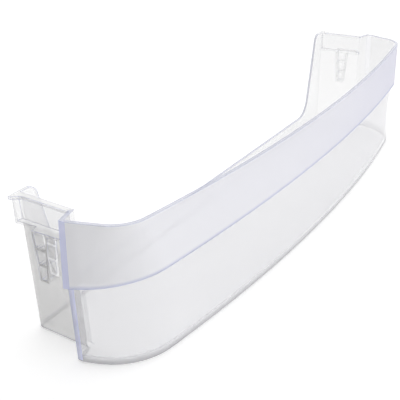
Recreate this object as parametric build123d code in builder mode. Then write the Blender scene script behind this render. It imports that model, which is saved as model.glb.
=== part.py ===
"""Refrigerator door shelf: a clear tray with a bowed front, a frosted band and a hook frame at each end."""
import os
from math import cos, radians, sin, tan

from build123d import *

# Tray: depth and height are taken to the top edge at the bow of the front wall; the top rises to the rear
tray_depth = 105.4
height = 100.0
top_rise = 0.8
wall = 2.2
floor_thickness = 2.6
foot_round = 2.0
floor_round = 1.8
bow_radius = 1466.0
corner_radius_top = 26.0
corner_radius_low = 46.0
corner_share = 0.9
front_draft = 0.1

# End walls: half the width over them at the rear, their splay seen from above and their draft
end_half_width = 231.0
end_splay = 2.5
end_draft = 2.0
rear_corner_round = 3.5

# Tips: the front wall wraps back to a blunt tip, and a short return runs from there to each end wall
tip_overhang = 12.4
tip_flat = 4.5
tip_draft = 1.6
return_setback = 47.2
return_run = 3.2
wrap_angle = 71.5

# Band: a thicker zone round the top of the front wall, proud at its top and more so at its tilted foot
band_height = 36.2
band_tilt = 6.8
band_top_proud = 0.4
band_foot_proud = 2.4

# Rear opening between the two rear panels, above a low rear wall
rear_wall_height = 18.4
rear_panel_width = 14.8
opening_slope = 13.5
opening_round = 20.0
panel_round = 8.0

# Hook frame on the outside of each end wall: ledge, upright flange, and an ear that runs on as a rim
ledge_overhang = 4.0
ledge_level = 81.6
frame_thickness = 2.2
ear_overhang = 6.5
ear_length = 9.0
ear_hollow = 1.0
rim_overhang = 2.0

# Ladder gusset under the ledge: two ribs that draw together, with rungs between them
ladder_overhang = 9.2
ladder_setback = 24.0
ladder_top_width = 12.5
ladder_foot_width = 7.0
ladder_height = 32.5
ladder_plate_width = 23.0
rib_thickness = 1.5
rung_thickness = 1.6
rung_count = 3

# Places that follow from the sizes
band_level = height - band_height
reach = tray_depth + band_foot_proud - band_height * tan(radians(front_draft))
rear_y = reach / 2
front_y = rear_y - tray_depth
rear_height = height + tray_depth * tan(radians(top_rise))
top_normal = (0, -sin(radians(top_rise)), cos(radians(top_rise)))
top_plane = Plane(origin=(0, front_y, height), x_dir=(1, 0, 0), z_dir=top_normal)
return_y = rear_y - return_setback
tip_x = end_half_width + return_setback * tan(radians(end_splay)) + tip_overhang
ladder_foot = ledge_level - ladder_height
ladder_y = rear_y - ladder_setback


def front_lean(level):
    """How far the front wall has drawn in at a level below the top edge."""
    return (height - level) * tan(radians(front_draft))


def end_x(level, y, inset=0.0):
    """Half width over the end walls at a level and a depth."""
    lean = (height - level) * tan(radians(end_draft))
    return end_half_width + (rear_y - y) * tan(radians(end_splay)) - lean - inset / cos(radians(end_splay))


def tip_lean(level):
    """How far the tips and the wrapped ends of the front wall have drawn in at a level."""
    return (height - level) * tan(radians(tip_draft))


def wrap_x(y, inset):
    """Half length over the wrapped ends of the front wall at a depth."""
    run = y - return_y + tip_flat
    return tip_x + run / tan(radians(wrap_angle)) - inset / sin(radians(wrap_angle))


def corner_radius(level):
    """Radius between front and wrapped end: full up to the band, then drawn in towards the top edge."""
    share = max(level - band_level, 0) / band_height
    return corner_radius_low + (corner_radius_top - corner_radius_low) * share


def section(level, front_inset, tip_inset, outline):
    """Plan at one level: the given outline from rear to tip, then the wrapped ends and the bowed front."""
    beyond = front_y - tray_depth
    right = outline + [(wrap_x(beyond, tip_inset), beyond)]
    left = [(-x, y) for x, y in reversed(right)]
    with BuildSketch(Plane.XY.offset(level)) as plan:
        with BuildLine():
            Polyline(*right, *left, close=True)
        make_face()
        with Locations((0, front_y + bow_radius)):
            Circle(bow_radius - front_inset, mode=Mode.INTERSECT)
        front_corners = plan.vertices().group_by(Axis.Y)[0]
        wrap_length = (outline[-1][1] - front_corners[0].Y) / sin(radians(wrap_angle))
        largest = corner_share * wrap_length / tan(radians(wrap_angle / 2))
        fillet(front_corners, min(corner_radius(level) - front_inset, largest))
    return plan.sketch


def end_wall(level, inset=0.0):
    """Rear and front corner of an end wall at a level."""
    rear_line = rear_y - inset
    return_end = return_y + return_run - inset
    return [
        (end_x(level, rear_line, inset), rear_line),
        (end_x(level, return_end, inset), return_end),
    ]


def blunt_tip(inset):
    """Rear and front corner of a tip's flat end."""
    slant = radians(wrap_angle)
    flat_front = return_y - tip_flat + inset * (1 - sin(slant)) / cos(slant)
    return [(tip_x - inset, return_y), (tip_x - inset, flat_front)]


def tray_section(level):
    """Plan of the tray's outside."""
    lean = tip_lean(level)
    return section(level, front_lean(level), lean, end_wall(level) + blunt_tip(lean))


def hollow_section(level):
    """Plan of the tray's inside, with a plain corner in each tip."""
    lean = tip_lean(level) + wall
    corner = (wrap_x(return_y - wall, lean), return_y - wall)
    return section(level, front_lean(level) + wall, lean, end_wall(level, wall) + [corner])


def band_section(level):
    """Plan of the band, closed straight across between its tips."""
    growth = (band_foot_proud - band_top_proud) / band_height
    proud = band_top_proud + growth * (height - level)
    return section(level, front_lean(level) - proud, -proud, blunt_tip(-proud))


def on_top(y):
    """Distance along the sloping top plane that belongs to a depth."""
    return (y - front_y) / cos(radians(top_rise))


def ladder_half(level):
    """Half width over the two ribs at a level."""
    spread = (ladder_top_width - ladder_foot_width) * (level - ladder_foot) / ladder_height
    return (ladder_foot_width + spread) / 2


# Frosted band, cut off below along its tilted foot
with BuildPart() as band:
    band_low = band_level - tray_depth * tan(radians(band_tilt))
    loft([band_section(band_low), band_section(band_level), band_section(rear_height)], ruled=True)
    foot_normal = (0, sin(radians(band_tilt)), cos(radians(band_tilt)))
    foot_plane = Plane(origin=(0, front_y, band_level), x_dir=(1, 0, 0), z_dir=foot_normal)
    split(bisect_by=foot_plane, keep=Keep.TOP)

# Hook frame and ladder of the right-hand end, rooted in the end wall
root_x = end_x(ladder_foot, rear_y, wall)
ledge_x = end_x(ledge_level, rear_y) + ledge_overhang
ladder_x = end_x(ledge_level, rear_y) + ladder_overhang
ear_x = end_half_width + ear_overhang
ear_y = rear_y - ear_length
end_y = return_y + return_run
with BuildPart() as end_frame:
    with BuildSketch(Plane.XZ.offset(-rear_y)):
        with BuildLine():
            Polyline(
                (root_x, ledge_level),
                (ledge_x, ledge_level),
                (ledge_x, rear_height),
                (root_x, rear_height),
                close=True,
            )
        make_face()
    extrude(amount=frame_thickness)
    with BuildSketch(Plane.XY.offset(ledge_level)):
        with BuildLine():
            Polyline(
                (root_x, rear_y),
                (ledge_x, rear_y),
                (ledge_x, end_y),
                (root_x, end_y),
                close=True,
            )
        make_face()
        plate_length = ladder_x - root_x
        plate_y = ladder_y + ladder_top_width / 2 - ladder_plate_width / 2
        with Locations((root_x + plate_length / 2, plate_y)):
            Rectangle(plate_length, ladder_plate_width)
    extrude(amount=frame_thickness)
    with BuildSketch(top_plane):
        rim_rear = on_top(rear_y)
        ear_tip = (ear_x, on_top(rear_y - frame_thickness))
        ear_foot = (end_x(height, ear_y) + rim_overhang, on_top(ear_y))
        with BuildLine():
            Polyline(
                ear_foot,
                (end_x(height, end_y) + rim_overhang, on_top(end_y)),
                (root_x, on_top(end_y)),
                (root_x, rim_rear),
                (ear_x, rim_rear),
                ear_tip,
            )
            SagittaArc(ear_tip, ear_foot, -ear_hollow)
        make_face()
    extrude(amount=-frame_thickness)
    with BuildSketch(Plane.YZ.offset(root_x)):
        with BuildLine():
            Polyline(
                (ladder_y + ladder_half(ledge_level), ledge_level),
                (ladder_y + ladder_half(ladder_foot), ladder_foot),
                (ladder_y - ladder_half(ladder_foot), ladder_foot),
                (ladder_y - ladder_half(ledge_level), ledge_level),
                close=True,
            )
        make_face()
        rung_pitch = ladder_height / rung_count
        for rung in range(rung_count):
            low = ladder_foot + rung * rung_pitch + rung_thickness
            high = ladder_foot + (rung + 1) * rung_pitch
            low_half = ladder_half(low) - rib_thickness
            high_half = ladder_half(high) - rib_thickness
            with BuildLine():
                Polyline(
                    (ladder_y + low_half, low),
                    (ladder_y + high_half, high),
                    (ladder_y - high_half, high),
                    (ladder_y - low_half, low),
                    close=True,
                )
            make_face(mode=Mode.SUBTRACT)
    extrude(amount=plate_length)

with BuildPart() as shelf:
    # Tray block with its drafted walls, rounded at the rear corners and round the foot
    loft([tray_section(0), tray_section(band_level), tray_section(rear_height)], ruled=True)
    uprights = shelf.edges().filter_by(lambda edge: abs(edge.tangent_at(0).Z) > 0.9)
    fillet(uprights.group_by(Axis.Y)[-1], rear_corner_round)
    fillet(shelf.faces().sort_by(Axis.Z)[0].edges(), foot_round)

    # Band and end frames on the outside, all cut off along the sloping top
    add(band.part)
    add(end_frame.part)
    mirror(end_frame.part, about=Plane.YZ)
    split(bisect_by=top_plane, keep=Keep.BOTTOM)

    # Hollow of the tray and the rear opening
    hollow_levels = (floor_thickness, band_level, rear_height + wall)
    loft([hollow_section(level) for level in hollow_levels], ruled=True, mode=Mode.SUBTRACT)
    with BuildSketch(Plane.XZ.offset(-rear_y)) as opening:
        draw_in = tan(radians(opening_slope))
        opening_level = rear_height + wall
        opening_top = end_half_width - rear_panel_width + wall * draw_in
        opening_low = opening_top - (opening_level - rear_wall_height) * draw_in
        with BuildLine():
            Polyline(
                (opening_low, rear_wall_height),
                (opening_top, opening_level),
                (-opening_top, opening_level),
                (-opening_low, rear_wall_height),
                close=True,
            )
        make_face()
        fillet(opening.vertices().group_by(Axis.Y)[0], opening_round)
    extrude(amount=2 * wall, mode=Mode.SUBTRACT)

    # Rounded apex of each rear panel and the round between floor and walls
    top_edges = shelf.edges().filter_by(lambda edge: edge.center().Z > height)
    rear_edges = top_edges.filter_by(lambda edge: edge.center().Y > rear_y - wall)
    fillet(rear_edges.filter_by(lambda edge: abs(edge.center().X) < opening_top), panel_round)
    floor_face = shelf.faces().filter_by(Axis.Z).group_by(Axis.Z)[1]
    fillet(floor_face.edges(), floor_round)

shelf.part.label = "door_shelf"
os.makedirs("parts", exist_ok=True)
export_step(shelf.part, "parts/door_shelf.step")
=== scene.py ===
"""Clear plastic door shelf of a refrigerator on a white studio floor."""
import math

import bmesh
import bpy
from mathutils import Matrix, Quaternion, Vector


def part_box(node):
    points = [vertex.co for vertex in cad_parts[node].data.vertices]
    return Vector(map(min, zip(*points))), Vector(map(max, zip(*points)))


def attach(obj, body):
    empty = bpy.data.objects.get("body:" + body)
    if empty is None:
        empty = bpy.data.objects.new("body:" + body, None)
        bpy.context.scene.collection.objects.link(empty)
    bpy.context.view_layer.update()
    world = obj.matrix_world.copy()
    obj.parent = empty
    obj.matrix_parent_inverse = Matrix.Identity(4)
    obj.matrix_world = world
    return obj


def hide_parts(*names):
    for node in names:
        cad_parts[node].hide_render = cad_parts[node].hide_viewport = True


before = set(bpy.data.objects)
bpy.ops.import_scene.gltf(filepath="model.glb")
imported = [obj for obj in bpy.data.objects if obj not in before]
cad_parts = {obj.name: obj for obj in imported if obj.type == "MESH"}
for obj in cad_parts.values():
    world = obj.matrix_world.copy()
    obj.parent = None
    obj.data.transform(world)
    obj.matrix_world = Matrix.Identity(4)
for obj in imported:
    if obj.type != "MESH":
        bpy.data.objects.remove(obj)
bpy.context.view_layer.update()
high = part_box("door_shelf")[1]

# Shelf moulding: the whole tray with its hook frames, moulded in one shot of clear polystyrene.
# Its mesh is the solid's own, with the loose triangles merged and the round faces shaded smooth.
# Wide faces lead the normals, so that the thin faces at the band's foot leave no smear on it.
MERGE_DISTANCE = 0.00001
SHARP_ANGLE = math.radians(25)
WIDE_FACES_LEAD = 100

cad_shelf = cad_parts["door_shelf"]
shelf = bpy.data.objects.new("door_shelf_moulding", cad_shelf.data.copy())
bpy.context.scene.collection.objects.link(shelf)
weld = shelf.modifiers.new("weld", "WELD")
weld.merge_threshold = MERGE_DISTANCE
moulding = bpy.data.meshes.new_from_object(shelf.evaluated_get(bpy.context.evaluated_depsgraph_get()))
moulding.name = "door_shelf_moulding"
shelf.modifiers.clear()
shelf.data = moulding
moulding.materials.clear()
moulding.shade_smooth()
moulding.set_sharp_from_angle(angle=SHARP_ANGLE)
even_normals = shelf.modifiers.new("even_normals", "WEIGHTED_NORMAL")
even_normals.keep_sharp = True
even_normals.weight = WIDE_FACES_LEAD

# Edge lines: painted lines along the sharp edges, standing in for the light that travels inside the clear
# plastic and leaves it there.
# The mask is full on an edge and fades out within the given width on both sides of it.
EDGE_SAMPLES = 8
FLAT_AGREEMENT = 0.985
EDGE_AGREEMENT = 0.86

painted_edge_line = bpy.data.node_groups.new("painted_edge_line", "ShaderNodeTree")
painted_edge_line.interface.new_socket("Width", in_out="INPUT", socket_type="NodeSocketFloat")
painted_edge_line.interface.new_socket("Mask", in_out="OUTPUT", socket_type="NodeSocketFloat")
group_in = painted_edge_line.nodes.new("NodeGroupInput")
group_out = painted_edge_line.nodes.new("NodeGroupOutput")
rounded = painted_edge_line.nodes.new("ShaderNodeBevel")
rounded.samples = EDGE_SAMPLES
surface = painted_edge_line.nodes.new("ShaderNodeNewGeometry")
agreement = painted_edge_line.nodes.new("ShaderNodeVectorMath")
agreement.operation = "DOT_PRODUCT"
mask = painted_edge_line.nodes.new("ShaderNodeMapRange")
mask.inputs["From Min"].default_value = FLAT_AGREEMENT
mask.inputs["From Max"].default_value = EDGE_AGREEMENT
painted_edge_line.links.new(group_in.outputs["Width"], rounded.inputs["Radius"])
painted_edge_line.links.new(rounded.outputs["Normal"], agreement.inputs[0])
painted_edge_line.links.new(surface.outputs["Normal"], agreement.inputs[1])
painted_edge_line.links.new(agreement.outputs["Value"], mask.inputs["Value"])
painted_edge_line.links.new(mask.outputs["Result"], group_out.inputs["Mask"])

# Flow marks: faint cloudy streaks along the length, left in the plastic as it filled the tool.
# They make the haze of every finish a few hundredths thicker or thinner from place to place.
STREAK_SCALE = (6.0, 14.0, 22.0)
NOISE_LOW = 0.3
NOISE_HIGH = 0.7
THINNEST_HAZE = 0.94
THICKEST_HAZE = 1.06

flow_marks = bpy.data.node_groups.new("flow_marks", "ShaderNodeTree")
flow_marks.interface.new_socket("Haze", in_out="OUTPUT", socket_type="NodeSocketFloat")
group_out = flow_marks.nodes.new("NodeGroupOutput")
place = flow_marks.nodes.new("ShaderNodeTexCoord")
stretch = flow_marks.nodes.new("ShaderNodeMapping")
stretch.inputs["Scale"].default_value = STREAK_SCALE
streaks = flow_marks.nodes.new("ShaderNodeTexNoise")
streaks.inputs["Scale"].default_value = 1.0
streaks.inputs["Detail"].default_value = 1.0
haze = flow_marks.nodes.new("ShaderNodeMapRange")
haze.inputs["From Min"].default_value = NOISE_LOW
haze.inputs["From Max"].default_value = NOISE_HIGH
haze.inputs["To Min"].default_value = THINNEST_HAZE
haze.inputs["To Max"].default_value = THICKEST_HAZE
flow_marks.links.new(place.outputs["Object"], stretch.inputs["Vector"])
flow_marks.links.new(stretch.outputs["Vector"], streaks.inputs["Vector"])
flow_marks.links.new(streaks.outputs["Fac"], haze.inputs["Value"])
flow_marks.links.new(haze.outputs["Result"], group_out.inputs["Haze"])

# Finishes of the plastic: the tool's surface makes it polished, satin or frosted, and painted lines and
# highlights at its edges stand in for the light they gather.
# A Mix node has sockets for every kind of data, so those for values and for colours go by their place in it.
PLASTIC_IOR = 1.57
LINE_SHARE_FROM_BEHIND = 0.35
VALUE_A, VALUE_B, VALUE_OUT = 2, 3, 0
COLOUR_A, COLOUR_B, COLOUR_OUT = 6, 7, 2


def finish(name, colour, roughness, front_alpha, back_alpha, line_colour, line_alpha, line_width):
    """A finish of the plastic: light passes straight through, and it adds a thin haze and painted edge lines.
    """
    material = bpy.data.materials.new(name)
    material.use_nodes = True
    nodes = material.node_tree.nodes
    links = material.node_tree.links
    shader = nodes["Principled BSDF"]
    shader.inputs["Roughness"].default_value = roughness
    shader.inputs["IOR"].default_value = PLASTIC_IOR
    side = nodes.new("ShaderNodeNewGeometry")
    haze_depth = nodes.new("ShaderNodeMapRange")
    haze_depth.inputs["To Min"].default_value = front_alpha
    haze_depth.inputs["To Max"].default_value = back_alpha
    line_depth = nodes.new("ShaderNodeMapRange")
    line_depth.inputs["To Min"].default_value = line_alpha
    line_depth.inputs["To Max"].default_value = line_alpha * LINE_SHARE_FROM_BEHIND
    marks = nodes.new("ShaderNodeGroup")
    marks.node_tree = flow_marks
    cloudy = nodes.new("ShaderNodeMath")
    cloudy.operation = "MULTIPLY"
    line = nodes.new("ShaderNodeGroup")
    line.node_tree = painted_edge_line
    line.inputs["Width"].default_value = line_width
    shade = nodes.new("ShaderNodeMath")
    shade.name = "shade"
    shade.operation = "MAXIMUM"
    shade.inputs[1].default_value = 0.0
    tone = nodes.new("ShaderNodeMix")
    tone.data_type = "RGBA"
    tone.inputs[COLOUR_A].default_value = colour
    tone.inputs[COLOUR_B].default_value = line_colour
    depth = nodes.new("ShaderNodeMix")
    links.new(side.outputs["Backfacing"], haze_depth.inputs["Value"])
    links.new(side.outputs["Backfacing"], line_depth.inputs["Value"])
    links.new(haze_depth.outputs["Result"], cloudy.inputs[0])
    links.new(marks.outputs["Haze"], cloudy.inputs[1])
    links.new(line.outputs["Mask"], shade.inputs[0])
    links.new(shade.outputs["Value"], tone.inputs["Factor"])
    links.new(tone.outputs[COLOUR_OUT], shader.inputs["Base Color"])
    links.new(shade.outputs["Value"], depth.inputs["Factor"])
    links.new(cloudy.outputs["Value"], depth.inputs[VALUE_A])
    links.new(line_depth.outputs["Result"], depth.inputs[VALUE_B])
    links.new(depth.outputs[VALUE_OUT], shader.inputs["Alpha"])
    moulding.materials.append(material)
    return material


def shade_by_height(material, slope, level, fade_height):
    """Lays the line colour as painted shade on all below a level, which may slope with the depth, and fades
    it out above.
    """
    nodes = material.node_tree.nodes
    links = material.node_tree.links
    place = nodes.new("ShaderNodeTexCoord")
    rise = nodes.new("ShaderNodeVectorMath")
    rise.operation = "DOT_PRODUCT"
    rise.inputs[1].default_value = (0.0, slope, 1.0)
    fade = nodes.new("ShaderNodeMapRange")
    fade.inputs["From Min"].default_value = level + fade_height
    fade.inputs["From Max"].default_value = level
    links.new(place.outputs["Object"], rise.inputs[0])
    links.new(rise.outputs["Value"], fade.inputs["Value"])
    links.new(fade.outputs["Result"], nodes["shade"].inputs[1])


# Clear walls: the floor, the rear wall and all inner faces, polished in the tool.
# Their sharp edges carry painted lavender lines, standing in for light that leaves the plastic there.
LAVENDER = (0.40, 0.43, 0.68, 1.0)
finish(
    "clear_plastic",
    colour=(0.68, 0.68, 0.70, 1.0),
    roughness=0.08,
    front_alpha=0.19,
    back_alpha=0.135,
    line_colour=LAVENDER,
    line_alpha=0.72,
    line_width=0.0012,
)

# Frosted band: the thicker upper zone of the front wall, spark-textured in the tool on its outer face.
# It is matt with a fine grain, takes a bluish tint at a low angle and has a soft painted shade line along its
# foot.
FRONT_HEIGHT = 0.100
TRAY_DEPTH = 0.1054
BAND_HEIGHT = 0.0362
BAND_TILT = math.radians(6.8)
PALE_BLUE = (0.63, 0.66, 0.84, 1.0)
front_y = high.y - TRAY_DEPTH
band_slope = math.tan(BAND_TILT)

frosted_plastic = finish(
    "frosted_plastic",
    colour=(0.98, 0.98, 0.985, 1.0),
    roughness=0.6,
    front_alpha=0.88,
    back_alpha=0.20,
    line_colour=PALE_BLUE,
    line_alpha=0.88,
    line_width=0.0012,
)
shade_by_height(
    frosted_plastic,
    slope=band_slope,
    level=FRONT_HEIGHT - BAND_HEIGHT + front_y * band_slope,
    fade_height=0.0026,
)
nodes = frosted_plastic.node_tree.nodes
links = frosted_plastic.node_tree.links
shader = nodes["Principled BSDF"]
shader.inputs["Specular IOR Level"].default_value = 0.1
shader.inputs["Coat Weight"].default_value = 1.0
shader.inputs["Coat IOR"].default_value = 1.01
shader.inputs["Coat Tint"].default_value = (0.940, 0.940, 0.966, 1.0)
place = nodes.new("ShaderNodeTexCoord")
grain = nodes.new("ShaderNodeTexNoise")
grain.inputs["Scale"].default_value = 2600.0
bump = nodes.new("ShaderNodeBump")
bump.inputs["Strength"].default_value = 0.15
bump.inputs["Distance"].default_value = 0.0002
links.new(place.outputs["Object"], grain.inputs["Vector"])
links.new(grain.outputs["Fac"], bump.inputs["Height"])
links.new(bump.outputs["Normal"], shader.inputs["Normal"])

# Front wall below the band, and the upper panels of the hook frames: polished, with a slight haze.
# A painted grey shade line runs along the foot of the wall, where it turns into the floor.
GREY = (0.36, 0.36, 0.385, 1.0)
hazy_plastic = finish(
    "hazy_plastic",
    colour=(0.63, 0.627, 0.68, 1.0),
    roughness=0.12,
    front_alpha=0.285,
    back_alpha=0.10,
    line_colour=GREY,
    line_alpha=0.75,
    line_width=0.0012,
)
shade_by_height(hazy_plastic, slope=0.0, level=0.0028, fade_height=0.0052)

# Tips: the blunt, square ends of the front wall, moulded with it.
# They show the blue tint that the plastic has along its full length.
finish(
    "tinted_tip",
    colour=(0.66, 0.69, 1.0, 1.0),
    roughness=0.15,
    front_alpha=0.78,
    back_alpha=0.10,
    line_colour=(0.54, 0.58, 0.95, 1.0),
    line_alpha=0.8,
    line_width=0.0010,
)

# End walls: satin outside below the ledge, where the tool is only ground; their dark grey haze is painted
# shade.
# A painted grey shade line runs along their foot.
satin_plastic_painted_shade = finish(
    "satin_plastic_painted_shade",
    colour=(0.53, 0.52, 0.51, 1.0),
    roughness=0.3,
    front_alpha=0.54,
    back_alpha=0.06,
    line_colour=GREY,
    line_alpha=0.65,
    line_width=0.0012,
)
shade_by_height(satin_plastic_painted_shade, slope=0.0, level=0.0012, fade_height=0.004)

# Tops of the hook frames and outer edges of the ladders, moulded on the outside of the end walls.
# They are painted near-white as highlights, standing in for the light they gather from the plates below them.
finish(
    "painted_highlight_edge",
    colour=(0.99, 0.99, 0.99, 1.0),
    roughness=0.1,
    front_alpha=0.55,
    back_alpha=0.06,
    line_colour=LAVENDER,
    line_alpha=0.6,
    line_width=0.0008,
)

# Edge faces of the front and rear walls, as narrow as the wall is thick.
# They show the depth of the plastic as a bluish line.
finish(
    "narrow_edge",
    colour=(0.62, 0.64, 0.79, 1.0),
    roughness=0.15,
    front_alpha=0.64,
    back_alpha=0.25,
    line_colour=PALE_BLUE,
    line_alpha=0.7,
    line_width=0.0008,
)

# Narrow faces of the moulding: smooth regions no wider than the wall is thick.
# Each region grows over its smooth edges while it is walked, and its width follows from area and border.
NARROW_WIDTH = 0.0024

work = bmesh.new()
work.from_mesh(moulding)
work.faces.ensure_lookup_table()
work.faces.index_update()
seen = set()
narrow = set()
for first in work.faces:
    if first.index in seen:
        continue
    region = [first]
    seen.add(first.index)
    border = 0.0
    for member in region:
        for edge in member.edges:
            if not edge.smooth or len(edge.link_faces) != 2:
                border += edge.calc_length()
                continue
            for neighbour in edge.link_faces:
                if neighbour.index not in seen:
                    seen.add(neighbour.index)
                    region.append(neighbour)
    area = sum(member.calc_area() for member in region)
    if border > 0 and 2 * area / border < NARROW_WIDTH:
        narrow.update(member.index for member in region)

# Zones of the moulding: each face gets its finish from where it lies and which way it looks.
# They are the front wall with its band, the tips, the end walls, and the hook frames with their ladders.
RETURN_SETBACK = 0.0472
RETURN_RUN = 0.0035
FRONT_CLEARANCE = 0.003
FORWARD_SHARE = 0.2
UPRIGHT_SHARE = 0.5
FOOT_ROUND_TOP = 0.0025
FOOT_ROUND_STEEPEST = -0.05
FOOT_ROUND_FLATTEST = -0.97
TIP_DEPTH = 0.008
TIP_SLACK = 0.0002
TIP_HALF_LENGTH = 0.23
END_HALF_LENGTH = 0.222
LADDER_SETBACK = 0.024
LADDER_HALF_WIDTH = 0.007
LADDER_FOOT = 0.048
LEDGE_LEVEL = 0.0816
SQUARE_ON = 0.95
NEARLY_SQUARE_ON = 0.9
return_y = high.y - RETURN_SETBACK
ladder_y = high.y - LADDER_SETBACK

CLEAR, FROSTED, HAZY, TINTED, SATIN_PAINTED_SHADE, PAINTED_HIGHLIGHT, NARROW = range(7)
for face in work.faces:
    centre = face.calc_center_median()
    normal = face.normal
    half_length = abs(centre.x)
    sideways = abs(normal.x)
    band_foot = FRONT_HEIGHT - BAND_HEIGHT - (centre.y - front_y) * band_slope
    is_narrow = face.index in narrow
    outward = normal.x * centre.x > 0
    looks_forward = normal.y < -FORWARD_SHARE and abs(normal.z) < UPRIGHT_SHARE
    front_outside = looks_forward and centre.y < return_y - FRONT_CLEARANCE
    foot_round = FOOT_ROUND_FLATTEST < normal.z < FOOT_ROUND_STEEPEST and centre.z < FOOT_ROUND_TOP
    at_tip = return_y - TIP_DEPTH < centre.y < return_y + TIP_SLACK and half_length > TIP_HALF_LENGTH
    in_frame = centre.y > return_y + RETURN_RUN and half_length > END_HALF_LENGTH
    under_ledge = LADDER_FOOT < centre.z < LEDGE_LEVEL
    in_ladder = in_frame and abs(centre.y - ladder_y) < LADDER_HALF_WIDTH and under_ledge
    if front_outside and centre.z > band_foot:
        face.material_index = FROSTED
    elif front_outside or foot_round:
        face.material_index = HAZY
    elif at_tip and outward and sideways > SQUARE_ON:
        face.material_index = TINTED
    # Painted highlights: the ladders' outer edges and the frame tops get a near-white finish.
    elif in_ladder and is_narrow and sideways > NEARLY_SQUARE_ON:
        face.material_index = PAINTED_HIGHLIGHT
    elif in_frame and normal.z > NEARLY_SQUARE_ON and not in_ladder:
        face.material_index = PAINTED_HIGHLIGHT
    # Painted shade: the end walls' outside below the ledge gets a dark grey satin haze.
    elif in_frame and outward and sideways > SQUARE_ON and not is_narrow:
        face.material_index = SATIN_PAINTED_SHADE if centre.z < LEDGE_LEVEL else HAZY
    elif is_narrow and not in_frame:
        face.material_index = NARROW
work.to_mesh(moulding)
work.free()

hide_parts("door_shelf")
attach(shelf, "root")

# Studio floor: a wide white table under the shelf, painted matt, which keeps the shelf's soft shadow.
# A little light of its own lifts it to the white of the room.
FLOOR_SIZE = 8.0
bpy.ops.mesh.primitive_plane_add(size=FLOOR_SIZE)
floor = bpy.context.object
floor.name = "floor"
floor_paint = bpy.data.materials.new("floor_paint")
floor_paint.use_nodes = True
shader = floor_paint.node_tree.nodes["Principled BSDF"]
shader.inputs["Base Color"].default_value = (0.92, 0.92, 0.92, 1.0)
shader.inputs["Roughness"].default_value = 0.9
shader.inputs["Specular IOR Level"].default_value = 0.0
shader.inputs["Emission Color"].default_value = (1.0, 1.0, 1.0, 1.0)
shader.inputs["Emission Strength"].default_value = 0.35
floor.data.materials.append(floor_paint)

# Studio light: a white room that gets brighter upwards and to the right.
# Where it is seen directly, mirrored or through the plastic, it is plain white.
BRIGHT_SIDE = (1.42, -0.40, 0.98)
MIDDLE_LEVEL = 0.36
DARKEST = 0.05
BRIGHTEST = 1.14
PLAIN_WHITE = 1.0

world = bpy.data.worlds.new("studio")
bpy.context.scene.world = world
world.use_nodes = True
nodes = world.node_tree.nodes
links = world.node_tree.links
room = nodes["Background"]
room.inputs["Color"].default_value = (1.0, 1.0, 1.0, 1.0)
direction = nodes.new("ShaderNodeTexCoord")
bright_side = nodes.new("ShaderNodeVectorMath")
bright_side.operation = "DOT_PRODUCT"
bright_side.inputs[1].default_value = BRIGHT_SIDE
level = nodes.new("ShaderNodeMath")
level.operation = "ADD"
level.inputs[1].default_value = MIDDLE_LEVEL
limits = nodes.new("ShaderNodeClamp")
limits.inputs["Min"].default_value = DARKEST
limits.inputs["Max"].default_value = BRIGHTEST
ray = nodes.new("ShaderNodeLightPath")
seen_or_mirrored = nodes.new("ShaderNodeMath")
seen_or_mirrored.operation = "MAXIMUM"
seen_at_all = nodes.new("ShaderNodeMath")
seen_at_all.operation = "MAXIMUM"
strength = nodes.new("ShaderNodeMix")
strength.inputs[VALUE_B].default_value = PLAIN_WHITE
links.new(direction.outputs["Generated"], bright_side.inputs[0])
links.new(bright_side.outputs["Value"], level.inputs[0])
links.new(level.outputs["Value"], limits.inputs["Value"])
links.new(ray.outputs["Is Camera Ray"], seen_or_mirrored.inputs[0])
links.new(ray.outputs["Is Glossy Ray"], seen_or_mirrored.inputs[1])
links.new(seen_or_mirrored.outputs["Value"], seen_at_all.inputs[0])
links.new(ray.outputs["Is Transmission Ray"], seen_at_all.inputs[1])
links.new(seen_at_all.outputs["Value"], strength.inputs["Factor"])
links.new(limits.outputs["Result"], strength.inputs[VALUE_A])
links.new(strength.outputs[VALUE_OUT], room.inputs["Strength"])

# Camera: it looks down on the shelf from the front, beyond its left-hand end.
# Its place is measured from the middle of the shelf's rear edge on the floor.
SENSOR_WIDTH = 36.0
IMAGE_WIDTH = 400.0
FOCAL_PIXELS = 745.7
CENTRE_OFFSET_PIXELS = 1.6
CAMERA_X = -0.5192
CAMERA_Y = -0.3147
CAMERA_HEIGHT = 0.2928
YAW = 1.010
PITCH = 0.452
ROLL = -0.024

camera_data = bpy.data.cameras.new("camera")
camera_data.sensor_width = SENSOR_WIDTH
camera_data.lens = FOCAL_PIXELS * SENSOR_WIDTH / IMAGE_WIDTH
camera_data.shift_x = -CENTRE_OFFSET_PIXELS / IMAGE_WIDTH
camera_data.clip_start = 0.01
camera = bpy.data.objects.new("camera", camera_data)
camera.location = (CAMERA_X, CAMERA_Y + high.y, CAMERA_HEIGHT)
forward = Vector((
    math.sin(YAW) * math.cos(PITCH),
    math.cos(YAW) * math.cos(PITCH),
    -math.sin(PITCH),
))
camera.rotation_mode = "QUATERNION"
camera.rotation_quaternion = forward.to_track_quat("-Z", "Y") @ Quaternion((0.0, 0.0, 1.0), ROLL)
bpy.context.scene.collection.objects.link(camera)
bpy.context.scene.camera = camera
bpy.context.scene.view_settings.view_transform = "Standard"

# Light paths: enough bounces to pass through all the walls of the shelf, one behind the other.
BOUNCES = 32
bpy.context.scene.cycles.max_bounces = BOUNCES
bpy.context.scene.cycles.transparent_max_bounces = BOUNCES
